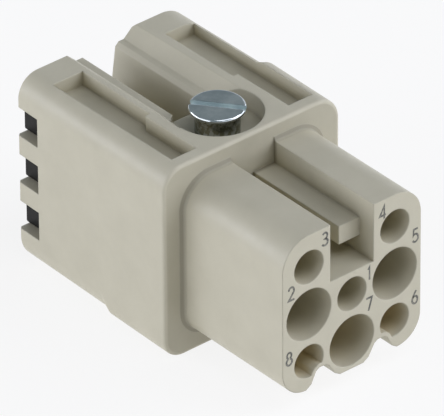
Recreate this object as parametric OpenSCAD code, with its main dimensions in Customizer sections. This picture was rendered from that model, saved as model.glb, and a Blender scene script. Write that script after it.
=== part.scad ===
// Eight-way female connector insert with quick wire terminals.
// X runs across the insert, Y from the mating face to the wire side, Z up.
// The origin is under the middle, on the flat underside. Lengths are in millimetres.

/* [Overall] */
// Length from the mating face to the wire side
total_len = 35.5; // [34.5:0.1:38]
// Distance between neighbouring contact axes
contact_pitch = 5.14; // [5.08:0.01:5.3]
// Length of the nose that enters the mating insert
nose_len = 13.95; // [13:0.05:14.5]

/* [Nose] */
// Wall beside the wide entry holes at the left and right of the nose
nose_side_wall = 0.465; // [0.4:0.005:1]
// Wall below the wide entry hole at the bottom of the nose
nose_bottom_wall = 0.385; // [0.35:0.005:0.8]
// Wall above the upper entry holes
nose_top_wall = 1.71; // [1.2:0.01:2.2]
// Radius of the two upper long edges of the nose
nose_top_r = 3.1; // [2:0.1:3.4]
// Radius of the two lower long edges of the nose
nose_bottom_r = 2.8; // [2:0.1:3]
// Fillet where the nose meets the flange
root_fillet = 0.45; // [0.2:0.05:0.8]

/* [Entry holes] */
// Bore of the five narrow entry holes
small_entry_d = 3.5; // [3.3:0.05:3.6]
// Bore of the three wide entry holes
large_entry_d = 5.35; // [5.2:0.05:5.5]
// Depth of all the entry holes
entry_depth = 9; // [8:0.1:11]

/* [Top groove and key] */
// Wall between the top groove and the upper entry holes
groove_side_wall = 0.79; // [0.6:0.01:1.2]
// Wall between the floor of the top groove and the middle entry hole
groove_floor_wall = 0.67; // [0.5:0.01:1]
// Reach of the coding key from the right wall of the groove
key_w = 2.5; // [1.5:0.1:3]
// Thickness of the coding key
key_t = 1.95; // [1.2:0.05:2.2]
// Gap between the floor of the groove and the coding key
key_gap = 1.93; // [1.4:0.01:2.2]
// Distance of the key's front end from the mating face
key_setback = 1.95; // [1:0.05:5]

/* [Bottom grooves] */
// Width of the middle rib at its foot
rib_foot_w = 3.6; // [3:0.1:4]
// Width of the middle rib at the ceiling of the grooves
rib_root_w = 5.8; // [5.7:0.05:6]
// Width of each groove at its ceiling
groove_ceiling_w = 1.25; // [1:0.05:1.4]
// Width of each groove at its mouth
groove_mouth_w = 3.25; // [2.6:0.05:3.4]
// Height of the grooves above the bottom of the nose
groove_rise = 1.83; // [1.5:0.01:1.9]
// Wall that is kept around a groove where it runs beside an entry hole
groove_skin = 0.4; // [0.3:0.05:0.5]
// Sloped edge at the mouth of the grooves
mouth_break = 0.4; // [0.1:0.05:0.5]
// Sloped corner at the ceiling of the grooves
ceiling_break = 0.25; // [0.1:0.05:0.4]

/* [Flange and rear body] */
// Step from the nose to the flange at each side
shoulder_side = 2.27; // [1.8:0.01:2.8]
// Step from the nose to the flange at the top
shoulder_top = 2; // [1.8:0.05:2.8]
// Step from the nose to the flange at the bottom
shoulder_bottom = 2; // [1.6:0.05:2.6]
// Amount by which each side closes in towards the wire side
side_draft = 0.37; // [0.1:0.01:0.5]
// Amount by which the top comes down towards the wire side
top_draft = 0.18; // [0.02:0.02:0.6]
// Length of the front section with the tighter corners
front_section_len = 8.55; // [8:0.05:10]
// Corner radius of the front section, and of the upper left corner all the way back
front_corner_r = 2.3; // [1.5:0.1:2.6]
// Radius of the upper right corner at the flange's front face
flange_corner_r = 2.8; // [2:0.1:3]
// Radius of the upper right corner just behind the front section
step_corner_r = 3.45; // [2.7:0.05:3.5]
// Radius of the upper right corner and of the lower ones at the wire side
rear_corner_r = 3.2; // [2.7:0.1:3.4]
// Length of the slope between the two corner radii
corner_step_len = 0.8; // [0.4:0.1:1.5]
// Rounding of the flange's front edge
flange_round = 0.35; // [0.2:0.05:0.45]
// Edge break around the wire side
rear_break = 0.25; // [0.1:0.05:0.4]

/* [Screw pocket and channel] */
// Radius of the round pocket for the screw
screw_pocket_r = 4.35; // [4:0.05:4.5]
// Depth of the screw pocket below the top
screw_pocket_depth = 2.1; // [1.8:0.05:2.6]
// Wall left between the screw pocket and the flange's front face
screw_pocket_wall = 0.55; // [0.4:0.05:1]
// Distance from the screw's axis to the front end of the deep channel
channel_from_screw = 3.65; // [3.4:0.05:3.65]
// Wall between the channel and the upper wire cavity at its left
channel_left_wall = 0.64; // [0.5:0.01:1.2]
// Distance of the channel's right wall from the middle, at the ledge
channel_right_at = 1.62; // [1.4:0.02:2.1]
// Amount by which the right wall comes in towards the channel's floor
channel_right_lean = 0.54; // [0:0.02:0.6]
// Broken edge between the right wall and the ledge
channel_edge_break = 0.4; // [0.2:0.05:0.5]
// Wall between the channel's floor and the middle wire cavity
channel_floor_wall = 0.55; // [0.4:0.05:1]
// Distance of the right ledge's outer edge from the middle
right_ledge_at = 2.65; // [2.3:0.05:3.1]
// Distance of the left ledge's outer edge from the middle
left_ledge_at = 3.05; // [2.7:0.05:3.2]
// Depth of the ledges below the top
ledge_depth = 1.35; // [1.2:0.05:1.7]
// Width of the slopes that rise from the ledges
slope_w = 1.5; // [0.8:0.05:1.6]

/* [Tower pockets] */
// Depth of the pocket in each tower's top
tower_pocket_depth = 1.7; // [1.2:0.05:2]
// Distance of the pocket's outer wall from the middle
tower_pocket_outer = 8.45; // [8:0.05:8.7]
// Distance of the pocket's inner wall from the middle, beside the channel
tower_pocket_inner = 4.94; // [4.7:0.02:5.4]
// Distance of the pocket's inner wall from the middle, beside the screw
tower_pocket_inner_front = 5.51; // [5.2:0.02:6]
// Wall between the pocket and the flange's front face
tower_pocket_front_wall = 1.35; // [1:0.05:2]
// Wall between the pocket and the wire side
tower_pocket_rear_wall = 3.23; // [2.5:0.05:4]

/* [Wire cavities] */
// Radius of a wire cavity around the contact axis
cavity_r = 2.2; // [2.15:0.01:2.25]
// Distance from the contact axis to the flat end of the lobe, where the driver blade goes in
lobe_reach = 4.22; // [4:0.01:4.25]
// Height of the lobe and of the window that opens it to the outside
lobe_h = 3.1; // [2.8:0.05:3.2]
// Amount by which the side lobes sit above their contact axes
lobe_rise = 0.52; // [0:0.02:0.52]
// Corner radius of the lobe
lobe_corner_r = 0.5; // [0.3:0.05:0.8]
// Length of the windows, measured from the wire side
window_len = 3; // [2:0.1:4]

/* [Contacts] */
// Bore for the mating pin
pin_bore_d = 1.6; // [1.5:0.05:1.7]
// Outer diameter of the contact's socket
socket_d = 2.3; // [2.2:0.02:2.36]
// Depth of the bore for the mating pin
pin_bore_depth = 7; // [6:0.1:8]
// Distance of the contact's tip from the mating face
socket_recess = 5.5; // [5:0.1:6.5]
// Width of the slots that split the socket into four springs
slot_w = 0.25; // [0.15:0.05:0.35]
// Length of those slots
slot_len = 5; // [4:0.1:5.5]
// Diameter of the collar that seats in the housing
collar_d = 3.9; // [3.5:0.05:3.9]
// Length of the collar
collar_len = 1.2; // [0.8:0.1:2]
// Diameter of the contact's body behind the collar
shank_d = 2.6; // [2.3:0.05:2.8]
// Diameter of the pin that the strands are pressed onto
spike_d = 1.5; // [1.2:0.05:1.6]
// Length of that pin, with its point
spike_len = 6.2; // [5:0.1:6.2]
// Length of the pin's point
spike_point = 1.8; // [1:0.1:2.5]

/* [Actuators and clamp sleeves] */
// Length of an actuator
actuator_len = 12; // [11:0.1:12.5]
// Travel from open to clamped
actuator_travel = 2; // [1:0.1:2.5]
// Running clearance of an actuator in its cavity, on the radius
actuator_clearance = 0.08; // [0.05:0.01:0.1]
// Diameter of the wire entry
wire_entry_d = 3; // [2.6:0.05:3.1]
// Diameter of the wire entry's flared mouth
wire_mouth_d = 3.6; // [3.2:0.05:3.8]
// Depth of the wire entry's flared mouth
wire_mouth_depth = 0.6; // [0.3:0.05:1]
// Width of the driver slot
driver_slot_w = 0.7; // [0.5:0.05:0.9]
// Length of the driver slot
driver_slot_len = 2.4; // [2:0.1:2.5]
// Depth of the driver slot
driver_slot_depth = 3; // [2:0.1:4]
// Outer diameter of the clamp sleeve
sleeve_d = 3.3; // [3.15:0.05:3.4]
// Inner diameter of the clamp sleeve
sleeve_bore_d = 2.5; // [2.3:0.05:2.6]
// Length of the clamp sleeve
sleeve_len = 3.5; // [2.5:0.1:4.5]

/* [Fixing screw] */
// Diameter of the screw's head disc
screw_head_d = 5.4; // [5:0.05:5.8]
// Thickness of the head disc
screw_head_t = 0.5; // [0.3:0.02:0.8]
// Height of the head above the top of the flange
screw_head_rise = 0.64; // [0.2:0.02:1]
// Diameter of the collar below the head
screw_collar_d = 4.3; // [3.8:0.05:4.8]
// Thread diameter
screw_thread_d = 3; // [2.5:0.5:3]
// Length of the thread below the pocket's floor
screw_thread_len = 4.5; // [3:0.1:4.6]
// Width of the driver slot in the head
screw_slot_w = 0.8; // [0.5:0.05:1]
// Depth of the driver slot in the head
screw_slot_depth = 0.45; // [0.3:0.05:1.6]
// Direction in which the slot happens to point
screw_slot_angle = -52; // [-90:1:90]

/* [Hidden] */
$fn = 64;
// Gap of parts that sit in a bore without moving, on the radius
seat_gap = 0.04;
// Gap around the contact's socket where the housing guides it, on the radius
guide_gap = 0.05;
// Overshoot of cuts through a face, and overlap of joined blocks
over = 0.5;
joined = 0.02;
// Thickness of the thin slices that the blended forms are spanned between
slice = 0.01;
// Steps in a rounded edge that runs all round, and facets of such a blended section
round_steps = 4;
root_steps = 3;
blend_fn = 72;

contact_count = 8;
contact_column = [0, -1, -1, 1, 1, 1, 0, -1];
contact_row = [0, 0, 1, 1, 0, -1, -1, -1];
wide_contacts = [2, 5, 7];

small_r = small_entry_d / 2;
large_r = large_entry_d / 2;
socket_r = socket_d / 2;

// Heights
nose_bottom = shoulder_bottom;
axis_h = nose_bottom + nose_bottom_wall + large_r + contact_pitch;
nose_top = axis_h + contact_pitch + small_r + nose_top_wall;
flange_h = nose_top + shoulder_top;
groove_floor = axis_h + small_r + groove_floor_wall;
channel_floor = axis_h + lobe_reach + channel_floor_wall;
screw_floor = flange_h - screw_pocket_depth;
ledge_h = flange_h - ledge_depth;

// Widths
nose_w = 2 * (contact_pitch + large_r + nose_side_wall);
flange_w = nose_w + 2 * shoulder_side;
groove_half_w = contact_pitch - small_r - groove_side_wall;
channel_left_at = contact_pitch - cavity_r - channel_left_wall;

// Distances from the mating face
body_len = total_len - nose_len;
corner_step_at = nose_len + front_section_len;
screw_at = nose_len + screw_pocket_wall + screw_pocket_r;
channel_at = screw_at + channel_from_screw;
seat_wall = 0.55;
seat_at = nose_len + seat_wall;
cavity_end_gap = 0.3;
cavity_at = total_len - actuator_len - actuator_travel - cavity_end_gap;
shank_gap = 0.7;
shank_end_at = cavity_at - shank_gap;
actuator_at = total_len - actuator_len;
seat_r = collar_d / 2 + guide_gap;

function is_wide(k) = len(search(k, wide_contacts)) > 0;
function entry_r(k) = is_wide(k) ? large_r : small_r;
function contact_x(k) = contact_pitch * contact_column[k - 1];
function contact_z(k) = axis_h + contact_pitch * contact_row[k - 1];

// The lobe of a wire cavity points outwards: to the side, or up and down in the middle column
function lobe_angle(k) = contact_column[k - 1] > 0 ? 0
    : contact_column[k - 1] < 0 ? 180
    : contact_row[k - 1] < 0 ? -90 : 90;

// Width and height of the drafted body at a distance from the mating face
function body_w(y) = flange_w - 2 * side_draft * (y - nose_len) / body_len;
function body_h(y) = flange_h - top_draft * (y - nose_len) / body_len;

// How far a quarter-round of radius r has come in at a distance d from its start
function round_inset(r, d) = r - sqrt(r * r - (r - d) * (r - d));

// Stands a section drawn in X and Z along Y, from a distance behind the mating face
module along_y(from, length) {
    translate([0, from - total_len / 2, 0])
        rotate([-90, 0, 0])
            linear_extrude(height = length)
                mirror([0, 1, 0])
                    children();
}

// Puts a turned part's own axis, drawn along Z, on contact k's axis
module on_contact(k, at) {
    translate([contact_x(k), at - total_len / 2, contact_z(k)])
        rotate([-90, 0, 0])
            children();
}

// Rectangle in X and Z with one radius for the lower corners and one for each upper corner
module rounded_section(w, bottom, top, bottom_r, left_r, right_r) {
    middle = (bottom + top) / 2;
    for (side = [-1, 1]) {
        top_r = side < 0 ? left_r : right_r;
        mirror([side < 0 ? 1 : 0, 0, 0]) {
            translate([-joined, bottom + bottom_r])
                square([w / 2 + joined, top - bottom - bottom_r - top_r]);
            translate([-joined, bottom])
                square([w / 2 - bottom_r + joined, middle - bottom + joined]);
            translate([-joined, middle - joined])
                square([w / 2 - top_r + joined, top - middle + joined]);
            translate([w / 2 - bottom_r, bottom + bottom_r])
                circle(r = bottom_r);
            translate([w / 2 - top_r, top - top_r])
                circle(r = top_r);
        }
    }
}

module nose_section(grow = 0) {
    rounded_section(nose_w + 2 * grow, nose_bottom - grow, nose_top + grow,
        nose_bottom_r + grow, nose_top_r + grow, nose_top_r + grow);
}

// Section of the body. Its upper left corner has the same radius all the way.
module body_section(y, lower_r, right_r, inset) {
    rounded_section(body_w(y) - 2 * inset, inset, body_h(y) - inset,
        lower_r - inset, front_corner_r - inset, right_r - inset);
}

// Slot in the top of the nose, in which the coding key stands
module top_groove_section() {
    translate([-groove_half_w, groove_floor])
        square([2 * groove_half_w, nose_top - groove_floor + shoulder_top]);
}

// One of the two slots in the bottom of the nose, at side -1 or 1
module bottom_groove_section(side) {
    foot = rib_foot_w / 2;
    root = rib_root_w / 2;
    inner_lean = (root - foot) / groove_rise;
    outer_foot = foot + groove_mouth_w;
    outer_root = root + groove_ceiling_w;
    outer_lean = (outer_foot - outer_root) / groove_rise;
    ceiling = nose_bottom + groove_rise;
    polygon([
        [side * (foot - mouth_break), nose_bottom - over],
        [side * (foot - mouth_break), nose_bottom],
        [side * (foot + inner_lean * mouth_break), nose_bottom + mouth_break],
        [side * (root - inner_lean * ceiling_break), ceiling - ceiling_break],
        [side * (root + ceiling_break), ceiling],
        [side * (outer_root - ceiling_break), ceiling],
        [side * (outer_root + outer_lean * ceiling_break), ceiling - ceiling_break],
        [side * (outer_foot - outer_lean * mouth_break), nose_bottom + mouth_break],
        [side * (outer_foot + mouth_break), nose_bottom],
        [side * (outer_foot + mouth_break), nose_bottom - over]
    ]);
}

module nose_grooves_section() {
    top_groove_section();
    for (side = [-1, 1])
        bottom_groove_section(side);
}

// Flared root of the nose, which widens in short slopes along a quarter-round
module nose_root() {
    step = root_fillet / root_steps;
    inside = 0.03;
    for (i = [0:root_steps - 1]) {
        from = nose_len - root_fillet + i * step;
        hull() {
            along_y(from, slice)
                nose_section(i == 0 ? -inside : round_inset(root_fillet, root_fillet - i * step));
            along_y(from + step - slice, 2 * slice)
                nose_section(round_inset(root_fillet, root_fillet - (i + 1) * step));
        }
    }
}

// Thin slice of the body at a distance from the mating face
module body_slice(at, lower_r, right_r, inset = 0) {
    along_y(at, slice)
        body_section(at, lower_r, right_r, inset);
}

// Front of the body, with the flange's rounded front edge
module front_body() {
    step = flange_round / round_steps;
    hull() {
        for (i = [0:round_steps])
            body_slice(nose_len + i * step, front_corner_r, flange_corner_r,
                round_inset(flange_round, i * step));
        body_slice(corner_step_at, front_corner_r, front_corner_r);
    }
}

// Slope where the tight corners of the front become the wide ones of the rear
module corner_step() {
    hull() {
        body_slice(corner_step_at, front_corner_r, front_corner_r);
        body_slice(corner_step_at + corner_step_len, rear_corner_r, step_corner_r);
    }
}

// Rear of the body, with the broken edge around the wire side
module rear_body() {
    hull() {
        body_slice(corner_step_at + corner_step_len, rear_corner_r, step_corner_r);
        body_slice(total_len - rear_break, rear_corner_r, rear_corner_r);
        body_slice(total_len - slice, rear_corner_r, rear_corner_r, rear_break);
    }
}

// The moulding's outer form before the cavities: nose, flange and rear body
module outer_form() {
    difference() {
        union() {
            along_y(0, nose_len + joined)
                nose_section();
            nose_root($fn = blend_fn);
            front_body($fn = blend_fn);
            corner_step($fn = blend_fn);
            rear_body($fn = blend_fn);
        }
        along_y(-over, nose_len + over)
            nose_grooves_section();
    }
    coding_key();
}

// Bar that stands in the top groove, carried by its right wall and by the flange
module coding_key() {
    translate([groove_half_w - key_w, key_setback - total_len / 2, groove_floor + key_gap])
        cube([key_w + joined, nose_len - key_setback + joined, key_t]);
}

// Entry hole of contact k. Beside a bottom groove it keeps the groove's skin, as a low ridge.
module entry_hole(k) {
    along_y(-over, entry_depth + over)
        difference() {
            translate([contact_x(k), contact_z(k)])
                circle(r = entry_r(k));
            if (contact_column[k - 1] != 0 && contact_row[k - 1] < 0)
                offset(r = groove_skin, $fn = 24)
                    bottom_groove_section(contact_column[k - 1]);
        }
}

// Bore that guides the socket, then the wider one that its collar seats in
module contact_bores(k) {
    on_contact(k, entry_depth - over)
        cylinder(r = socket_r + guide_gap, h = seat_at - entry_depth + 2 * over);
    on_contact(k, seat_at)
        cylinder(r = seat_r, h = cavity_at - seat_at + over);
}

// Puts a form into contact k's lobe: its X points outwards and its Z starts at the lobe's middle
module in_lobe(k, at) {
    translate([contact_x(k), at - total_len / 2, contact_z(k)])
        rotate([0, -lobe_angle(k), 0])
            translate([0, 0, lobe_rise * contact_column[k - 1]])
                children();
}

// Keyhole-shaped block: round about the contact axis, with a flat-sided lobe on the outer side
module keyhole_block(k, at, length, less = 0) {
    half_h = lobe_h / 2;
    on_contact(k, at)
        cylinder(r = cavity_r - less, h = length);
    in_lobe(k, at) {
        translate([0, 0, less - half_h])
            cube([lobe_reach - lobe_corner_r, length, 2 * (half_h - less)]);
        translate([0, 0, lobe_corner_r - half_h])
            cube([lobe_reach - less, length, 2 * (half_h - lobe_corner_r)]);
        for (side = [-1, 1])
            translate([lobe_reach - lobe_corner_r, 0, side * (half_h - lobe_corner_r)])
                rotate([-90, 0, 0])
                    cylinder(r = lobe_corner_r - less, h = length);
    }
}

// Window that opens the lobe of a wire cavity to the outside, or to the floor of the channel
module actuator_window(k) {
    from = cavity_r;
    in_channel = contact_column[k - 1] == 0 && contact_row[k - 1] == 0;
    reach = lobe_reach - from + (in_channel ? channel_floor_wall + joined : shoulder_side);
    in_lobe(k, total_len - window_len)
        translate([from, 0, -lobe_h / 2])
            cube([reach, window_len + over, lobe_h]);
}

// Trough between the towers, off the middle, with a ledge and a slope at each side
module channel() {
    run_out = slope_w * (1 + over / ledge_depth);
    along_y(channel_at, total_len - channel_at + over)
        polygon([
            [-channel_left_at, channel_floor],
            [channel_right_at - channel_right_lean, channel_floor],
            [channel_right_at, ledge_h - channel_edge_break],
            [channel_right_at + channel_edge_break, ledge_h],
            [channel_right_at + channel_edge_break, flange_h],
            [-channel_left_at, flange_h]
        ]);
    along_y(screw_at, total_len - screw_at + over)
        polygon([
            [-left_ledge_at, ledge_h],
            [right_ledge_at, ledge_h],
            [right_ledge_at + run_out, flange_h + over],
            [-left_ledge_at - run_out, flange_h + over]
        ]);
}

module screw_pocket() {
    translate([0, screw_at - total_len / 2, screw_floor])
        cylinder(r = screw_pocket_r, h = screw_pocket_depth + over);
    translate([0, screw_at - total_len / 2, screw_floor - screw_thread_len - seat_wall])
        cylinder(r = screw_thread_d / 2 + seat_gap, h = screw_thread_len + seat_wall + over);
}

// Recess in the top of one tower, narrower beside the screw pocket
module tower_pocket(side) {
    front = nose_len + tower_pocket_front_wall - total_len / 2;
    rear = total_len / 2 - tower_pocket_rear_wall;
    step = corner_step_at - total_len / 2;
    translate([0, 0, flange_h - tower_pocket_depth])
        linear_extrude(height = tower_pocket_depth + over)
            polygon([
                [side * tower_pocket_outer, front],
                [side * tower_pocket_outer, rear],
                [side * tower_pocket_inner, rear],
                [side * tower_pocket_inner, step],
                [side * tower_pocket_inner_front, step],
                [side * tower_pocket_inner_front, front]
            ]);
}

module housing() {
    color([0.70, 0.69, 0.64])
        difference() {
            outer_form();
            for (k = [1:contact_count]) {
                entry_hole(k);
                contact_bores(k);
                keyhole_block(k, cavity_at, total_len - cavity_at + over);
                actuator_window(k);
            }
            channel();
            screw_pocket();
            for (side = [-1, 1])
                tower_pocket(side);
        }
}

// Turned contact: split socket, seating collar, shank and the pin that the strands go round
module contact(k) {
    length = shank_end_at + spike_len - socket_recess;
    collar_from = seat_at - socket_recess;
    collar_to = collar_from + collar_len;
    shank_to = shank_end_at - socket_recess;
    tip_break = 0.15;
    spike_tip_r = 0.15;
    color([0.82, 0.81, 0.78])
        on_contact(k, socket_recess)
            difference() {
                rotate_extrude()
                    polygon([
                        [0, 0],
                        [socket_r - tip_break, 0],
                        [socket_r, tip_break],
                        [socket_r, collar_from],
                        [collar_d / 2, collar_from],
                        [collar_d / 2, collar_to],
                        [shank_d / 2, collar_to],
                        [shank_d / 2, shank_to],
                        [spike_d / 2, shank_to],
                        [spike_d / 2, length - spike_point],
                        [spike_tip_r, length],
                        [0, length]
                    ]);
                translate([0, 0, -over])
                    cylinder(r = pin_bore_d / 2, h = pin_bore_depth + over);
                for (turn = [0, 90])
                    rotate([0, 0, turn])
                        translate([-socket_d, -slot_w / 2, -over])
                            cube([2 * socket_d, slot_w, slot_len + over]);
            }
}

// Sliding actuator: flared wire entry on the contact axis, driver slot in the lobe
module actuator(k) {
    sleeve_seat_r = sleeve_d / 2 + seat_gap;
    slot_at = (wire_mouth_d / 2 + lobe_reach - actuator_clearance - driver_slot_w) / 2;
    color([0.09, 0.09, 0.09])
        difference() {
            keyhole_block(k, actuator_at, actuator_len, actuator_clearance);
            on_contact(k, actuator_at - over)
                cylinder(r = sleeve_seat_r, h = sleeve_len + over);
            on_contact(k, actuator_at)
                cylinder(d = wire_entry_d, h = actuator_len + over);
            on_contact(k, total_len - wire_mouth_depth)
                cylinder(d1 = wire_entry_d, d2 = wire_mouth_d, h = wire_mouth_depth + joined);
            in_lobe(k, total_len - driver_slot_depth)
                translate([slot_at, 0, -driver_slot_len / 2])
                    cube([driver_slot_w, driver_slot_depth + over, driver_slot_len]);
        }
}

// Metal ring in the actuator's nose, with a mouth that leads the strands onto the spike
module clamp_sleeve(k) {
    mouth = 0.2;
    color([0.75, 0.74, 0.7])
        on_contact(k, actuator_at)
            rotate_extrude()
                polygon([
                    [sleeve_bore_d / 2, mouth],
                    [sleeve_bore_d / 2 + mouth, 0],
                    [sleeve_d / 2, 0],
                    [sleeve_d / 2, sleeve_len],
                    [sleeve_bore_d / 2, sleeve_len]
                ]);
}

// Slotted screw: thin disc head with a rounded rim, a collar under it and the thread
module fixing_screw() {
    head_top = flange_h + screw_head_rise - screw_floor;
    head_r = screw_head_d / 2;
    rim = screw_head_t / 2;
    color([0.68, 0.72, 0.76])
        translate([0, screw_at - total_len / 2, screw_floor])
            difference() {
                union() {
                    rotate_extrude() {
                        translate([0, head_top - screw_head_t])
                            square([head_r - rim, screw_head_t]);
                        translate([head_r - rim, head_top - rim])
                            circle(r = rim);
                    }
                    cylinder(d = screw_collar_d, h = head_top - rim);
                    translate([0, 0, -screw_thread_len])
                        cylinder(d = screw_thread_d, h = screw_thread_len + joined);
                }
                rotate([0, 0, screw_slot_angle])
                    translate([-screw_head_d, -screw_slot_w / 2, head_top - screw_slot_depth])
                        cube([2 * screw_head_d, screw_slot_w, screw_slot_depth + over]);
            }
}

housing();
for (k = [1:contact_count]) {
    contact(k);
    actuator(k);
    clamp_sleeve(k);
}
fixing_screw();
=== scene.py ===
"""Looks of the eight-way female connector insert.

Materials with softened edges, contact numbers, lamps, floor, world and camera.
"""

import math

import bpy
from mathutils import Matrix, Vector


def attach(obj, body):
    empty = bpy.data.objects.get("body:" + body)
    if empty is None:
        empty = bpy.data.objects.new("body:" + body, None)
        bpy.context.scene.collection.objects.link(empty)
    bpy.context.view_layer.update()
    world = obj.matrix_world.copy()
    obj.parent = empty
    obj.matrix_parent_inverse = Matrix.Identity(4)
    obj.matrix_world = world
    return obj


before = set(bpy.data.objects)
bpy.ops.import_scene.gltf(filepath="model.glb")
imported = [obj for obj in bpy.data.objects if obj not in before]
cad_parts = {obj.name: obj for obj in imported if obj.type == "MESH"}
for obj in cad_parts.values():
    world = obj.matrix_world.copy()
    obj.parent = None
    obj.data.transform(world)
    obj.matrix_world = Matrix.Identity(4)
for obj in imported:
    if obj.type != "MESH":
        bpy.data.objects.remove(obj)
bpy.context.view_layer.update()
scene = bpy.context.scene

MM = 0.001
WHITE = (1, 1, 1, 1)

# Sizes that the scene shares with the solids, in millimetres and degrees
TOTAL_LEN = 35.5
NOSE_LEN = 13.95
AXIS_H = 10.2
FACE_Y = -TOTAL_LEN / 2
ROOT_Y = FACE_Y + NOSE_LEN
SCREW_TOP = 21.44
SCREW_Y = 1.1
SCREW_SLOT_ANGLE = -52


def mm(x, y, z):
    """A point in metres from millimetres."""
    return Vector((x * MM, y * MM, z * MM))


def span(base, offsets):
    """Two places in metres, from offsets in millimetres to a base in millimetres."""
    return [(base + offset) * MM for offset in offsets]


def direction(azimuth, elevation):
    """Unit vector away from the object, from angles in radians. Azimuth 0 is the mating face's."""
    return Vector((math.sin(azimuth) * math.cos(elevation),
                   -math.cos(azimuth) * math.cos(elevation),
                   math.sin(elevation)))


# Camera: a very long lens, placed where the parallel edges and the grid of holes in the
# photograph put it. Angles are in degrees, and clip distances in metres.
CAMERA_AT = mm(-474.7, -548.2 + FACE_Y, 487.2 + AXIS_H)
CAMERA_AZIMUTH = -39.962
CAMERA_ELEVATION = 33.382
CAMERA_ROLL = -0.379
FOCAL_PX = 9614.75
IMAGE_W_PX = 444
SENSOR_MM = 36.0
CLIP_NEAR = 0.05
CLIP_FAR = 10


def make_camera():
    """The camera that sees the object as the photograph does."""
    azimuth = math.radians(CAMERA_AZIMUTH)
    elevation = math.radians(CAMERA_ELEVATION)
    roll = math.radians(CAMERA_ROLL)
    back = direction(azimuth, elevation)
    right = Vector((math.cos(azimuth), math.sin(azimuth), 0))
    up = back.cross(right)
    rolled_right = right * math.cos(roll) + up * math.sin(roll)
    rolled_up = up * math.cos(roll) - right * math.sin(roll)
    turn = Matrix((rolled_right, rolled_up, back)).transposed().to_4x4()
    data = bpy.data.cameras.new("camera")
    data.sensor_width = SENSOR_MM
    data.lens = FOCAL_PX * SENSOR_MM / IMAGE_W_PX
    data.clip_start = CLIP_NEAR
    data.clip_end = CLIP_FAR
    camera = bpy.data.objects.new("camera", data)
    camera.matrix_world = Matrix.Translation(CAMERA_AT) @ turn
    scene.collection.objects.link(camera)
    scene.camera = camera


def srgb(red, green, blue):
    """Linear colour from 0 to 255 display values."""
    def linear(value):
        value /= 255
        return value / 12.92 if value <= 0.04045 else ((value + 0.055) / 1.055) ** 2.4
    return linear(red), linear(green), linear(blue), 1.0


def new_material(name):
    """An empty node material, its nodes and links, and its principled shader."""
    material = bpy.data.materials.new(name)
    material.use_nodes = True
    nodes = material.node_tree.nodes
    return material, nodes, material.node_tree.links, nodes["Principled BSDF"]


# Node helpers: each adds nodes to a material or world and gives back what the next one links to

def object_coords(nodes):
    """Place on the piece, in metres."""
    return nodes.new("ShaderNodeTexCoord").outputs["Object"]


def split_axes(nodes, links, coords):
    """The X, Y and Z outputs of a place."""
    node = nodes.new("ShaderNodeSeparateXYZ")
    links.new(coords, node.inputs["Vector"])
    return node.outputs


def noise(nodes, links, coords, scale, detail=4.0, roughness=0.6):
    """Cloudy values round a half."""
    node = nodes.new("ShaderNodeTexNoise")
    node.inputs["Scale"].default_value = scale
    node.inputs["Detail"].default_value = detail
    node.inputs["Roughness"].default_value = roughness
    links.new(coords, node.inputs["Vector"])
    return node.outputs["Fac"]


def compute(nodes, links, operation, *terms, clamp=False):
    """Result of a Math node, whose terms are outputs of other nodes or plain numbers."""
    node = nodes.new("ShaderNodeMath")
    node.operation = operation
    node.use_clamp = clamp
    for socket, term in zip(node.inputs, terms):
        if isinstance(term, (int, float)):
            socket.default_value = term
        else:
            links.new(term, socket)
    return node.outputs[0]


def ramp(nodes, links, value, source, target):
    """Maps a value from one range onto another, and holds it at the ends."""
    node = nodes.new("ShaderNodeMapRange")
    node.inputs["From Min"].default_value = source[0]
    node.inputs["From Max"].default_value = source[1]
    node.inputs["To Min"].default_value = target[0]
    node.inputs["To Max"].default_value = target[1]
    links.new(value, node.inputs["Value"])
    return node.outputs["Result"]


def mix_colour(nodes, links, factor, first, second):
    """One fixed colour at factor 0, the other at 1."""
    node = nodes.new("ShaderNodeMix")
    node.data_type = "RGBA"
    node.inputs["A"].default_value = first
    node.inputs["B"].default_value = second
    links.new(factor, node.inputs["Factor"])
    return node.outputs["Result"]


def multiply_colour(nodes, links, colour, tint, factor):
    """Multiplies a colour by a tint as far as the factor says."""
    node = nodes.new("ShaderNodeMix")
    node.data_type = "RGBA"
    node.blend_type = "MULTIPLY"
    node.clamp_factor = True
    node.inputs["B"].default_value = tint
    links.new(colour, node.inputs["A"])
    links.new(factor, node.inputs["Factor"])
    return node.outputs["Result"]


def clouded(nodes, links, coords, colours, scale, detail, spread):
    """A colour that drifts between two. The spread is the noise's range from one to the other."""
    shade = ramp(nodes, links, noise(nodes, links, coords, scale, detail), spread, (0.0, 1.0))
    return mix_colour(nodes, links, shade, *colours)


def bump(nodes, links, height, below, strength, distance_mm):
    """Normals of a fine relief on top of the normals below it."""
    node = nodes.new("ShaderNodeBump")
    node.inputs["Strength"].default_value = strength
    node.inputs["Distance"].default_value = distance_mm * MM
    links.new(height, node.inputs["Height"])
    links.new(below, node.inputs["Normal"])
    return node.outputs["Normal"]


NODE_SAMPLES = 8


def soft_edges(nodes, radius_mm):
    """Normals that turn round each edge over a small radius, as on a moulded or tumbled edge."""
    node = nodes.new("ShaderNodeBevel")
    node.samples = NODE_SAMPLES
    node.inputs["Radius"].default_value = radius_mm * MM
    return node.outputs["Normal"]


def openness(nodes, reach_mm):
    """One on open faces, less where the piece itself stands near. Other pieces don't count."""
    node = nodes.new("ShaderNodeAmbientOcclusion")
    node.samples = NODE_SAMPLES
    node.only_local = True
    node.inputs["Distance"].default_value = reach_mm * MM
    return node.outputs["AO"]


# Tints of painted shade and painted light on the plastic, set against the photograph
CORNER_SHADE_TINT = (0.800, 0.784, 0.752, 1)
ROOT_SHADE_TINT = (0.56, 0.55, 0.52, 1)
BORE_LIGHT_TINT = (1.02, 0.975, 0.84, 1)
LOW_BORE_LIGHT_TINT = (1.22, 1.11, 0.93, 1)
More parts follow.
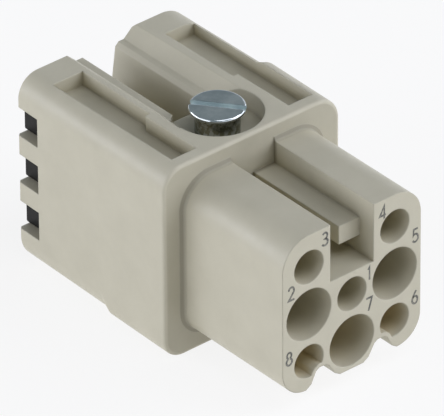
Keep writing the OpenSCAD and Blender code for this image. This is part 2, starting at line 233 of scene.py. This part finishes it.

# Where the painted shade and light apply, in millimetres: how far openness looks, the two ends of
# the painted shade line along Y from the nose's root, and the heights from the middle hole between
# which the low bores' painted light fades
CORNER_REACH = 0.9
BORE_REACH = 6.0
ROOT_LINE_STARTS = (-0.50, -0.12)
ROOT_LINE_ENDS = (-0.03, 0.01)
LOW_BORES = (-6.0, -1.5)


def painted_corner_shade(nodes, links, colour):
    """Paints shade into a colour in tight inner corners, and a line of painted shade round the
    nose's root.

    The corners are found by openness, and the line is laid on by its place along Y.
    """
    # Painted shade in tight inner corners
    corner = ramp(nodes, links, openness(nodes, CORNER_REACH), (0.50, 0.88), (1.0, 0.0))
    corner_shaded = multiply_colour(nodes, links, colour, CORNER_SHADE_TINT, corner)
    # Painted shade line round the nose's root
    along = split_axes(nodes, links, object_coords(nodes))["Y"]
    starts = ramp(nodes, links, along, span(ROOT_Y, ROOT_LINE_STARTS), (0.0, 1.0))
    ends = ramp(nodes, links, along, span(ROOT_Y, ROOT_LINE_ENDS), (1.0, 0.0))
    line = compute(nodes, links, "MULTIPLY", starts, ends)
    return multiply_colour(nodes, links, corner_shaded, ROOT_SHADE_TINT, line)


def painted_bore_light(nodes, links, colour):
    """Paints warm light into a colour deep in bores, most of all low in the nose.

    It is colour only: in the photograph light seems to come through the thin walls there.
    """
    deep = ramp(nodes, links, openness(nodes, BORE_REACH), (0.05, 0.42), (1.0, 0.0))
    height = split_axes(nodes, links, object_coords(nodes))["Z"]
    low = ramp(nodes, links, height, span(AXIS_H, LOW_BORES), (1.0, 0.0))
    deep_and_low = compute(nodes, links, "MULTIPLY", deep, low)
    # Painted warm light deep in bores, stronger low in the nose
    warm = multiply_colour(nodes, links, colour, BORE_LIGHT_TINT, deep)
    return multiply_colour(nodes, links, warm, LOW_BORE_LIGHT_TINT, deep_and_low)


def moulded_plastic(name, colours, roughness, grain, edge_mm, gloss_level):
    """Moulded plastic: slight clouds of colour, spark-eroded grain and uneven gloss."""
    material, nodes, links, shader = new_material(name)
    coords = object_coords(nodes)
    body = clouded(nodes, links, coords, colours, scale=260, detail=4.0, spread=(0.3, 0.7))
    # Painted warm light in bores, then painted shade in corners and round the nose's root
    body = painted_corner_shade(nodes, links, painted_bore_light(nodes, links, body))
    links.new(body, shader.inputs["Base Color"])
    gloss = noise(nodes, links, coords, scale=900)
    links.new(ramp(nodes, links, gloss, (0.35, 0.65), roughness), shader.inputs["Roughness"])
    fine = noise(nodes, links, coords, scale=9000, detail=3.0, roughness=0.55)
    waves = noise(nodes, links, coords, scale=420, detail=2.0, roughness=0.5)
    wavy = bump(nodes, links, waves, soft_edges(nodes, edge_mm), strength=0.12, distance_mm=0.05)
    grained = bump(nodes, links, fine, wavy, strength=grain, distance_mm=0.012)
    links.new(grained, shader.inputs["Normal"])
    shader.inputs["Specular IOR Level"].default_value = gloss_level
    return material


def turned_metal(name, colours, roughness):
    """Plated turned metal: cloudy colour, uneven gloss and fine machining grain."""
    material, nodes, links, shader = new_material(name)
    coords = object_coords(nodes)
    plate = clouded(nodes, links, coords, colours, scale=700, detail=3.0, spread=(0.35, 0.65))
    links.new(plate, shader.inputs["Base Color"])
    wear = noise(nodes, links, coords, scale=2600, detail=5.0, roughness=0.7)
    links.new(ramp(nodes, links, wear, (0.3, 0.7), roughness), shader.inputs["Roughness"])
    grain = noise(nodes, links, coords, scale=6000, detail=2.0, roughness=0.5)
    edges = soft_edges(nodes, radius_mm=0.05)
    grained = bump(nodes, links, grain, edges, strength=0.15, distance_mm=0.006)
    links.new(grained, shader.inputs["Normal"])
    shader.inputs["Metallic"].default_value = 1.0
    return material


# The screw's slot and collar: tints of painted light in the slot and painted shade under the head,
# heights from the screw's top and the slot's half width in millimetres, each over a narrow blend,
# and what the slot adds to the roughness
SLOT_LIGHT_TINT = (1.14, 1.22, 1.22, 1)
UNDER_HEAD_SHADE_TINT = (0.55, 0.52, 0.40, 1)
SLOT_STARTS = (-0.06, -0.04)
HEAD_ENDS = (-0.52, -0.50)
SLOT_HALF_W = (0.41, 0.43)
SLOT_ROUGHNESS = 0.42


def within_slot(nodes, links, axes, below_top, under_head):
    """One inside the driver slot and nought elsewhere."""
    angle = math.radians(SCREW_SLOT_ANGLE)
    across = compute(nodes, links, "MULTIPLY", axes["X"], -math.sin(angle))
    across = compute(nodes, links, "MULTIPLY_ADD", axes["Y"], math.cos(angle), across)
    offset = compute(nodes, links, "SUBTRACT", across, SCREW_Y * math.cos(angle) * MM)
    distance = compute(nodes, links, "ABSOLUTE", offset)
    between = ramp(nodes, links, distance, span(0, SLOT_HALF_W), (1.0, 0.0))
    below = compute(nodes, links, "MULTIPLY", between, below_top)
    return compute(nodes, links, "SUBTRACT", below, under_head, clamp=True)


def screw_plate(name, colours):
    """Bright plate on the screw: mirror-like head, rougher slot with painted light, and a collar
    with dark patches of painted shade and painted reflection.
    """
    material, nodes, links, shader = new_material(name)
    coords = object_coords(nodes)
    axes = split_axes(nodes, links, coords)
    below_top = ramp(nodes, links, axes["Z"], span(SCREW_TOP, SLOT_STARTS), (1.0, 0.0))
    under_head = ramp(nodes, links, axes["Z"], span(SCREW_TOP, HEAD_ENDS), (1.0, 0.0))
    slot = within_slot(nodes, links, axes, below_top, under_head)

    plate = clouded(nodes, links, coords, colours, scale=500, detail=3.0, spread=(0.35, 0.65))
    # Painted light in the driver slot
    plate = multiply_colour(nodes, links, plate, SLOT_LIGHT_TINT, slot)
    # Painted shade and painted reflection: dark patches under the head
    shade_patches = ramp(nodes, links, noise(nodes, links, coords, scale=2100), (0.44, 0.54), (0.0, 1.0))
    under_head_shade = compute(nodes, links, "MULTIPLY", shade_patches, under_head)
    plate = multiply_colour(nodes, links, plate, UNDER_HEAD_SHADE_TINT, under_head_shade)
    links.new(plate, shader.inputs["Base Color"])

    wear = noise(nodes, links, coords, scale=2600, detail=5.0, roughness=0.7)
    worn = ramp(nodes, links, wear, (0.3, 0.7), (0.05, 0.13))
    rough = compute(nodes, links, "MULTIPLY_ADD", slot, SLOT_ROUGHNESS, worn)
    links.new(rough, shader.inputs["Roughness"])

    grain = noise(nodes, links, coords, scale=5200, detail=2.0, roughness=0.5)
    edges = soft_edges(nodes, radius_mm=0.03)
    grained = bump(nodes, links, grain, edges, strength=0.12, distance_mm=0.005)
    dents = noise(nodes, links, coords, scale=900, detail=3.0)
    dents = compute(nodes, links, "MULTIPLY", dents, under_head)
    dented = bump(nodes, links, dents, grained, strength=0.6, distance_mm=0.12)
    links.new(dented, shader.inputs["Normal"])
    shader.inputs["Metallic"].default_value = 1.0
    return material


def printed_ink(name, colours):
    """Print: a thin dark film with lighter specks."""
    material, nodes, links, shader = new_material(name)
    coords = object_coords(nodes)
    film = clouded(nodes, links, coords, colours, scale=4200, detail=3.0, spread=(0.4, 0.62))
    links.new(film, shader.inputs["Base Color"])
    shader.inputs["Roughness"].default_value = 0.55
    return material


def assign(piece, material):
    """Gives a piece one material in place of what it had."""
    piece.data.materials.clear()
    piece.data.materials.append(material)


plastic = moulded_plastic("pebble grey plastic", (srgb(185, 180, 160), srgb(191, 186, 166)),
                          roughness=(0.38, 0.50), grain=0.35, edge_mm=0.20, gloss_level=0.42)
black = moulded_plastic("black plastic", (srgb(14, 13, 12), srgb(21, 20, 18)),
                        roughness=(0.38, 0.52), grain=0.25, edge_mm=0.12, gloss_level=0.2)
silver = turned_metal("silver plate", (srgb(205, 202, 196), srgb(226, 224, 220)), (0.22, 0.38))
steel = turned_metal("turned steel", (srgb(170, 168, 164), srgb(196, 194, 190)), (0.25, 0.4))
zinc = screw_plate("bluish zinc plate", (srgb(172, 178, 180), srgb(198, 201, 201)))
ink = printed_ink("dark grey print", (srgb(80, 80, 75), srgb(128, 126, 116)))

# Material of each CAD node, by how its name starts
NODE_MATERIALS = {
    "housing": plastic,
    "actuator": black,
    "contact": silver,
    "clamp_sleeve": steel,
    "fixing_screw": zinc,
}
for node_name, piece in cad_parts.items():
    for start, material in NODE_MATERIALS.items():
        if node_name.startswith(start):
            assign(piece, material)

# Contact numbers on the mating face: x and z of each number's middle, in millimetres from the
# middle hole
NUMBERS = {
    "1": (2.10, 1.33),
    "2": (-7.23, 3.16),
    "3": (-3.21, 7.36),
    "4": (3.69, 7.25),
    "5": (7.65, 3.07),
    "6": (7.61, -3.67),
    "7": (2.10, -2.04),
    "8": (-7.49, -3.86),
}

# The numbers' sizes in millimetres. Each stroke of a number stands STROKE_STEP further out than
# the one before, so that strokes that meet share no plane.
NUMBER_H = 1.40
NUMBER_W = 0.72
STROKE_W = 0.21
PRINT_T = 0.012
STROKE_STEP = 0.001
# The least cosine that widens a stroke's corner, so that a sharp one doesn't reach out too far
MITRE_LIMIT = 0.4


def arc(x, z, radius_x, radius_z, start, end, steps=14):
    """Points of an elliptical arc, with angles in degrees."""
    points = []
    for i in range(steps + 1):
        angle = math.radians(start + (end - start) * i / steps)
        points.append((x + radius_x * math.cos(angle), z + radius_z * math.sin(angle)))
    return points


# Each number's strokes, in a box one wide and one high
STROKES = {
    "1": [[(0.28, 0.82), (0.52, 1.0), (0.52, 0.0)]],
    "2": [arc(0.5, 0.71, 0.44, 0.29, 170, -25) + [(0.05, 0.0), (1.0, 0.0)]],
    "3": [arc(0.46, 0.76, 0.40, 0.24, 150, -85) + arc(0.46, 0.27, 0.48, 0.25, 80, -155)],
    "4": [[(0.74, 0.0), (0.74, 1.0), (0.0, 0.27), (0.66, 0.27)], [(0.82, 0.27), (1.0, 0.27)]],
    "5": [[(0.90, 1.0), (0.20, 1.0), (0.14, 0.55)] + arc(0.45, 0.32, 0.48, 0.31, 125, -150)],
    "6": [[(0.72, 1.0), (0.30, 0.68)] + arc(0.5, 0.29, 0.44, 0.29, 160, 500, 26)],
    "7": [[(0.0, 1.0), (0.95, 1.0), (0.38, 0.0)]],
    "8": [arc(0.5, 0.76, 0.36, 0.23, -75, 255, 22), arc(0.5, 0.27, 0.46, 0.26, 105, 435, 26)],
}


def stroke_sides(points, half):
    """Left and right outline of a stroke of constant width along a line of points."""
    left, right = [], []
    for i, (x, z) in enumerate(points):
        before = Vector(points[i]) - Vector(points[i - 1]) if i else None
        after = Vector(points[i + 1]) - Vector(points[i]) if i + 1 < len(points) else None
        parts = [part.normalized() for part in (before, after) if part is not None]
        along = (parts[0] + parts[-1]).normalized()
        reach = half / max(MITRE_LIMIT, along.dot(parts[0]))
        aside = Vector((-along.y, along.x)) * reach
        left.append((x + aside.x, z + aside.y))
        right.append((x - aside.x, z - aside.y))
    return left, right


def number(text, x, z):
    """A number printed on the mating face: closed flat strokes that stand slightly proud."""
    verts, faces = [], []
    for strip, stroke in enumerate(STROKES[text]):
        points = [((px - 0.5) * NUMBER_W, (pz - 0.5) * NUMBER_H) for px, pz in stroke]
        left, right = stroke_sides(points, STROKE_W / 2)
        front = FACE_Y - PRINT_T - STROKE_STEP * strip
        first = len(verts)
        # Four corners a point: left front, left back, right front, right back
        for (lx, lz), (rx, rz) in zip(left, right):
            for px, pz in ((lx, lz), (rx, rz)):
                verts.append(mm(x + px, front, z + pz + AXIS_H))
                verts.append(mm(x + px, FACE_Y, z + pz + AXIS_H))
        last = len(points) - 1
        for i in range(last):
            a, b = first + 4 * i, first + 4 * i + 4
            faces += [(a, b, b + 2, a + 2), (a + 1, a + 3, b + 3, b + 1),
                      (a, a + 1, b + 1, b), (a + 2, b + 2, b + 3, a + 3)]
        a, b = first, first + 4 * last
        faces += [(a, a + 2, a + 3, a + 1), (b, b + 1, b + 3, b + 2)]
    mesh = bpy.data.meshes.new("number_" + text)
    mesh.from_pydata(verts, [], faces)
    piece = bpy.data.objects.new("number_" + text, mesh)
    scene.collection.objects.link(piece)
    assign(piece, ink)
    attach(piece, "insert")


for text, (x, z) in NUMBERS.items():
    number(text, x, z)


# Soft boxes round the object, all at one distance in metres and aimed at a height in millimetres.
# Azimuth and elevation in degrees, width and height in metres, power in watts.
PANEL_DISTANCE = 1.2
PANEL_AIM_H = 10
PANEL_COLOUR = (0.98, 1.0, 1.10)
PANELS = {
    "front": (0, 12, 0.95, 0.48, 1.5),
    "front_high": (0, 65, 0.90, 0.50, 3.5),
    "right_front": (45, 12, 0.95, 0.48, 3.6),
    "right_front_mid": (45, 38, 0.80, 0.50, 5.0),
    "right": (90, 15, 0.95, 0.62, 3.8),
    "rear_right": (135, 12, 0.95, 0.48, 0.8),
    "rear_left": (-135, 12, 0.95, 0.48, 6.3),
    "left": (-90, 12, 0.95, 0.48, 4.2),
    "left_mid": (-90, 38, 0.80, 0.50, 1.0),
}

# Floor: half its side in metres, how far it lies below the object in millimetres, and the share
# of its shading that is its own light, first for other rays, then for rays from the camera and
# from glossy surfaces
FLOOR_HALF = 1.5
FLOOR_DROP_MM = 0.02
FLOOR_COLOUR = (0.86, 0.86, 0.86, 1)
FLOOR_GLOW = (0.46, 0.85)

# World: its strength for the same two kinds of rays, and its colour for all but camera rays
WORLD_STRENGTH = (0.15, 1.0)
WORLD_COLOUR = (0.31, 0.36, 0.385, 1)


def soft_box(name, azimuth, elevation, width, height, power):
    """A rectangular lamp that faces the object."""
    away = direction(math.radians(azimuth), math.radians(elevation))
    data = bpy.data.lights.new(name, "AREA")
    data.shape = "RECTANGLE"
    data.size, data.size_y = width, height
    data.energy = power
    data.color = PANEL_COLOUR
    lamp = bpy.data.objects.new(name, data)
    lamp.location = mm(0, 0, PANEL_AIM_H) + PANEL_DISTANCE * away
    lamp.rotation_euler = (-away).to_track_quat("-Z", "Y").to_euler()
    scene.collection.objects.link(lamp)


def ray_share(nodes, links, other_and_seen):
    """The second value for rays from the camera and from glossy surfaces, the first for others."""
    path = nodes.new("ShaderNodeLightPath").outputs
    seen = compute(nodes, links, "MAXIMUM", path["Is Camera Ray"], path["Is Glossy Ray"])
    return ramp(nodes, links, seen, (0, 1), other_and_seen)


def make_floor():
    """Pale floor that gives part of its own light. It shows nearly white, with a faint shadow."""
    half, drop = FLOOR_HALF, -FLOOR_DROP_MM * MM
    corners = [(-half, -half, drop), (half, -half, drop), (half, half, drop), (-half, half, drop)]
    mesh = bpy.data.meshes.new("floor")
    mesh.from_pydata(corners, [], [(0, 1, 2, 3)])
    floor = bpy.data.objects.new("floor", mesh)
    scene.collection.objects.link(floor)
    material, nodes, links, shader = new_material("floor")
    shader.inputs["Base Color"].default_value = FLOOR_COLOUR
    shader.inputs["Roughness"].default_value = 0.9
    shader.inputs["Specular IOR Level"].default_value = 0.0
    glow = nodes.new("ShaderNodeEmission")
    glow.inputs["Strength"].default_value = 1.0
    blend = nodes.new("ShaderNodeMixShader")
    links.new(ray_share(nodes, links, FLOOR_GLOW), blend.inputs["Fac"])
    links.new(shader.outputs["BSDF"], blend.inputs[1])
    links.new(glow.outputs["Emission"], blend.inputs[2])
    links.new(blend.outputs["Shader"], nodes["Material Output"].inputs["Surface"])
    assign(floor, material)


def make_world():
    """White to the camera, dim grey-blue in reflections, and nearly dark as a light."""
    world = bpy.data.worlds.new("studio")
    scene.world = world
    world.use_nodes = True
    nodes, links = world.node_tree.nodes, world.node_tree.links
    background = nodes["Background"]
    to_camera = nodes.new("ShaderNodeLightPath").outputs["Is Camera Ray"]
    colour = mix_colour(nodes, links, to_camera, WORLD_COLOUR, WHITE)
    links.new(colour, background.inputs["Color"])
    links.new(ray_share(nodes, links, WORLD_STRENGTH), background.inputs["Strength"])


make_camera()
make_floor()
make_world()
for name, spec in PANELS.items():
    soft_box(name, *spec)
scene.view_settings.view_transform = "Standard"
